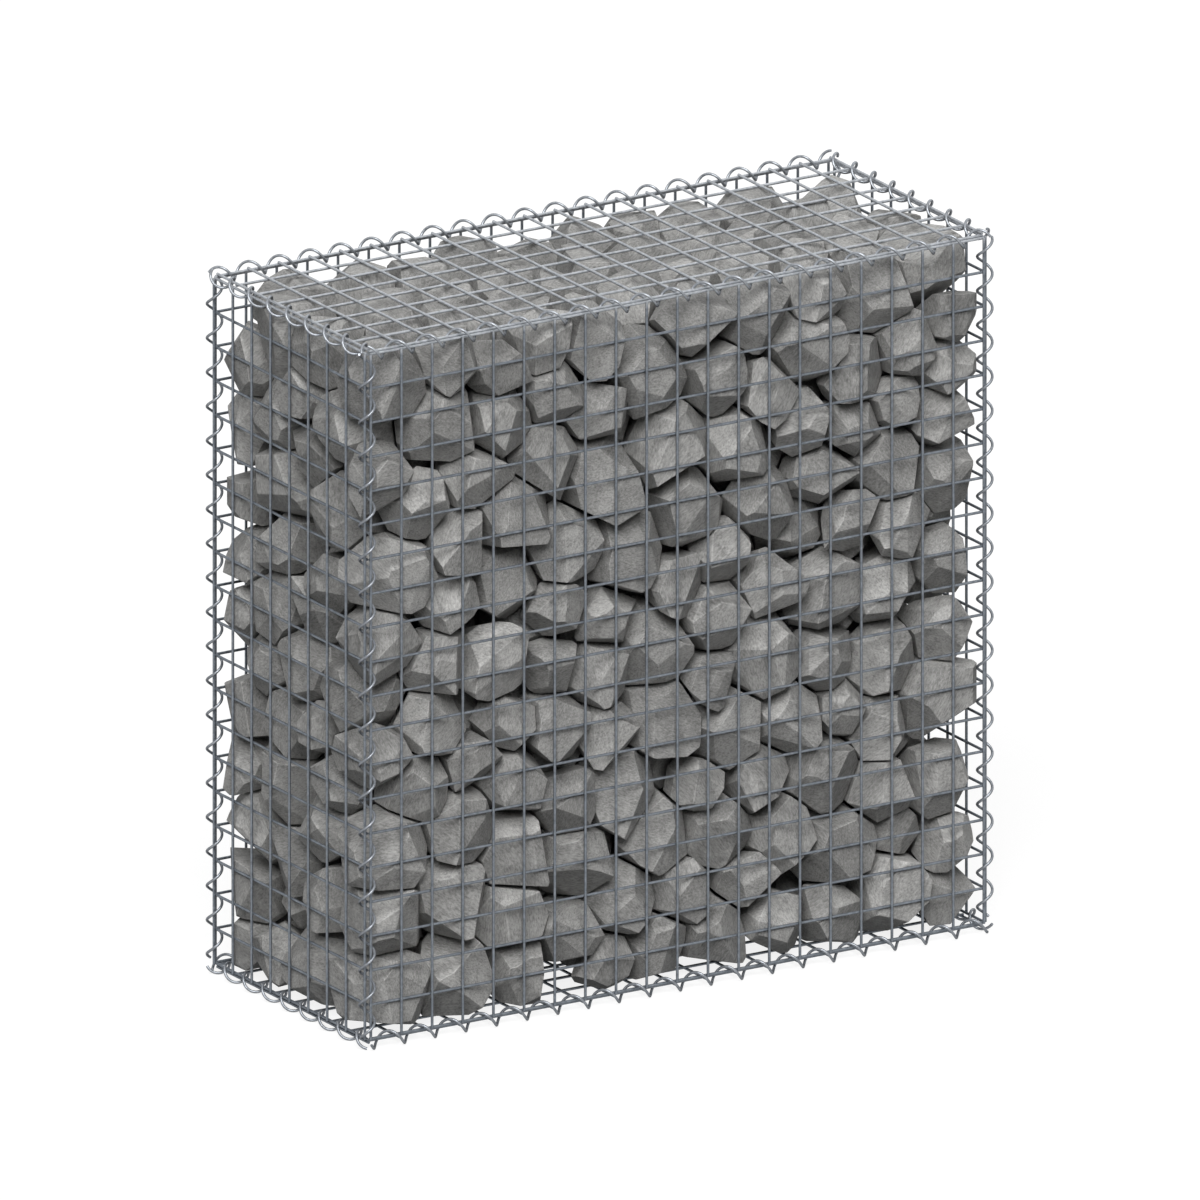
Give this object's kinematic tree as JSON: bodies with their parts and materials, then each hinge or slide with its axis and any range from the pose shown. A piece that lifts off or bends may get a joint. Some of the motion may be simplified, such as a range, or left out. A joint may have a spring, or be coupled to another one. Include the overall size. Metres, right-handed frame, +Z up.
{
  "type": "gabion wall bay",
  "caption": "Upright welded-mesh gabion basket, its panels laced along every edge with wire spirals and filled with broken stone; a free-standing wall bay.",
  "frame": {"origin": "on the ground under the middle of the basket", "axes": "+X along the wall to the right of the front, +Y through the wall to the back, +Z up"},
  "size_m": [1.0332, 0.4362, 1.0314],
  "materials": {
    "mesh_wire": "galvanised wire",
    "spiral_wire": "galvanised wire",
    "stone": "broken grey stone"
  },
  "bodies": {
    "root": {"front_panel": "mesh_wire", "back_panel": "mesh_wire", "left_panel": "mesh_wire", "right_panel": "mesh_wire", "lid_panel": "mesh_wire", "base_panel": "mesh_wire", "spiral_front_left": "spiral_wire", "spiral_front_right": "spiral_wire", "spiral_back_left": "spiral_wire", "spiral_back_right": "spiral_wire", "spiral_front_base": "spiral_wire", "spiral_front_top": "spiral_wire", "spiral_back_base": "spiral_wire", "spiral_back_top": "spiral_wire", "spiral_left_base": "spiral_wire", "spiral_left_top": "spiral_wire", "spiral_right_base": "spiral_wire", "spiral_right_top": "spiral_wire", "stone_fill_lower": "stone", "stone_fill_middle": "stone", "stone_fill_upper": "stone"}
  },
  "joints": []
}
